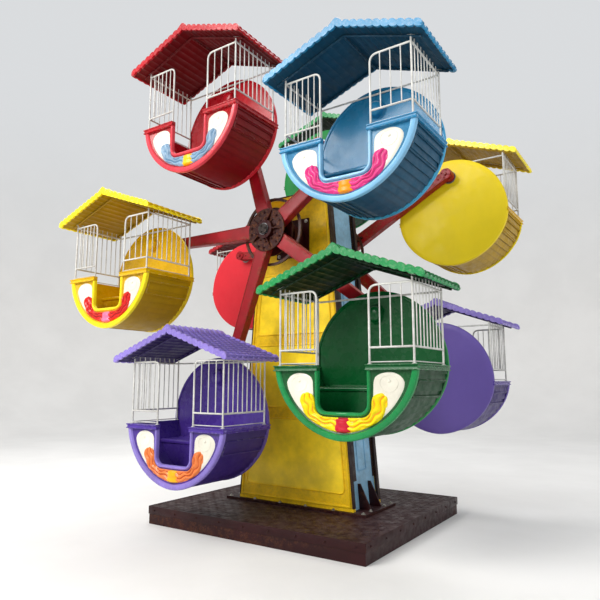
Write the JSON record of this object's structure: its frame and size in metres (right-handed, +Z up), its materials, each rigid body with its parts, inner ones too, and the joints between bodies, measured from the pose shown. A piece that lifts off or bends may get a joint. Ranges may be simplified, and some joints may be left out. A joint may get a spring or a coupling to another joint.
{
  "type": "double-sided mini ferris wheel",
  "caption": "Children's ferris wheel with a wheel of roofed, caged gondolas on each side of one column, on a low steel base.",
  "frame": {"origin": "on the ground under the middle of the column", "axes": "+Z up, -Y out of the front wheel along the axle, +X to the right seen from the front"},
  "size_m": [4.4816, 3.23, 5.0647],
  "materials": {
    "red_shell": "glossy moulded shell",
    "blue_shell": "glossy moulded shell",
    "yellow_shell": "glossy moulded shell",
    "purple_shell": "glossy moulded shell",
    "green_shell": "glossy moulded shell",
    "white_bar": "white paint on rod",
    "arm_red": "red enamel",
    "hub_dark": "dark primer",
    "axle_steel": "bare turned steel",
    "column_yellow": "yellow enamel",
    "column_blue": "pale blue enamel",
    "base_maroon": "dark maroon paint"
  },
  "bodies": {
    "column": {"column": "column_blue", "front_fascia": "column_yellow", "rear_fascia": "column_yellow", "front_bearing": "hub_dark", "rear_bearing": "hub_dark", "column_foot": "base_maroon", "base_frame": "base_maroon", "base_deck": "base_maroon"},
    "wheels": {"axle": "axle_steel", "front_hub": "hub_dark", "rear_hub": "hub_dark", "front_ring": "hub_dark", "rear_ring": "hub_dark", "front_blue_arm": "arm_red", "front_red_arm": "arm_red", "front_yellow_arm": "arm_red", "front_purple_arm": "arm_red", "front_green_arm": "arm_red", "rear_yellow_arm": "arm_red", "rear_green_arm": "arm_red", "rear_red_arm": "arm_red", "rear_blue_arm": "arm_red", "rear_purple_arm": "arm_red"},
    "front_blue_gondola": {"front_blue_tub": "blue_shell", "front_blue_cage": "white_bar", "front_blue_roof": "blue_shell"},
    "front_red_gondola": {"front_red_tub": "red_shell", "front_red_cage": "white_bar", "front_red_roof": "red_shell"},
    "front_yellow_gondola": {"front_yellow_tub": "yellow_shell", "front_yellow_cage": "white_bar", "front_yellow_roof": "yellow_shell"},
    "front_purple_gondola": {"front_purple_tub": "purple_shell", "front_purple_cage": "white_bar", "front_purple_roof": "purple_shell"},
    "front_green_gondola": {"front_green_tub": "green_shell", "front_green_cage": "white_bar", "front_green_roof": "green_shell"},
    "rear_yellow_gondola": {"rear_yellow_tub": "yellow_shell", "rear_yellow_cage": "white_bar", "rear_yellow_roof": "yellow_shell"},
    "rear_green_gondola": {"rear_green_tub": "green_shell", "rear_green_cage": "white_bar", "rear_green_roof": "green_shell"},
    "rear_red_gondola": {"rear_red_tub": "red_shell", "rear_red_cage": "white_bar", "rear_red_roof": "red_shell"},
    "rear_blue_gondola": {"rear_blue_tub": "blue_shell", "rear_blue_cage": "white_bar", "rear_blue_roof": "blue_shell"},
    "rear_purple_gondola": {"rear_purple_tub": "purple_shell", "rear_purple_cage": "white_bar", "rear_purple_roof": "purple_shell"}
  },
  "joints": [
    {"name": "wheel_spin", "type": "hinge", "parent": "column", "child": "wheels", "pos_m": [0, 0, 3], "axis": [0, 1, 0], "continuous": true},
    {"name": "front_blue_swing", "type": "hinge", "parent": "wheels", "child": "front_blue_gondola", "pos_m": [1.317, -0.83, 3.9085], "axis": [0, 1, 0], "continuous": true},
    {"name": "front_red_swing", "type": "hinge", "parent": "wheels", "child": "front_red_gondola", "pos_m": [-0.4571, -0.83, 4.5333], "axis": [0, 1, 0], "continuous": true},
    {"name": "front_yellow_swing", "type": "hinge", "parent": "wheels", "child": "front_yellow_gondola", "pos_m": [-1.5995, -0.83, 3.0391], "axis": [0, 1, 0], "continuous": true},
    {"name": "front_purple_swing", "type": "hinge", "parent": "wheels", "child": "front_purple_gondola", "pos_m": [-0.5315, -0.83, 1.4908], "axis": [0, 1, 0], "continuous": true},
    {"name": "front_green_swing", "type": "hinge", "parent": "wheels", "child": "front_green_gondola", "pos_m": [1.2711, -0.83, 2.0282], "axis": [0, 1, 0], "continuous": true},
    {"name": "rear_yellow_swing", "type": "hinge", "parent": "wheels", "child": "rear_yellow_gondola", "pos_m": [1.4021, 0.83, 3.7708], "axis": [0, 1, 0], "continuous": true},
    {"name": "rear_green_swing", "type": "hinge", "parent": "wheels", "child": "rear_green_gondola", "pos_m": [-0.2998, 0.83, 4.5717], "axis": [0, 1, 0], "continuous": true},
    {"name": "rear_red_swing", "type": "hinge", "parent": "wheels", "child": "rear_red_gondola", "pos_m": [-1.5874, 0.83, 3.2005], "axis": [0, 1, 0], "continuous": true},
    {"name": "rear_blue_swing", "type": "hinge", "parent": "wheels", "child": "rear_blue_gondola", "pos_m": [-0.6812, 0.83, 1.5523], "axis": [0, 1, 0], "continuous": true},
    {"name": "rear_purple_swing", "type": "hinge", "parent": "wheels", "child": "rear_purple_gondola", "pos_m": [1.1663, 0.83, 1.9047], "axis": [0, 1, 0], "continuous": true}
  ],
  "couplings": [
    {"joint": "front_blue_swing", "follows": "wheel_spin", "ratio": -1},
    {"joint": "front_red_swing", "follows": "wheel_spin", "ratio": -1},
    {"joint": "front_yellow_swing", "follows": "wheel_spin", "ratio": -1},
    {"joint": "front_purple_swing", "follows": "wheel_spin", "ratio": -1},
    {"joint": "front_green_swing", "follows": "wheel_spin", "ratio": -1},
    {"joint": "rear_yellow_swing", "follows": "wheel_spin", "ratio": -1},
    {"joint": "rear_green_swing", "follows": "wheel_spin", "ratio": -1},
    {"joint": "rear_red_swing", "follows": "wheel_spin", "ratio": -1},
    {"joint": "rear_blue_swing", "follows": "wheel_spin", "ratio": -1},
    {"joint": "rear_purple_swing", "follows": "wheel_spin", "ratio": -1}
  ]
}
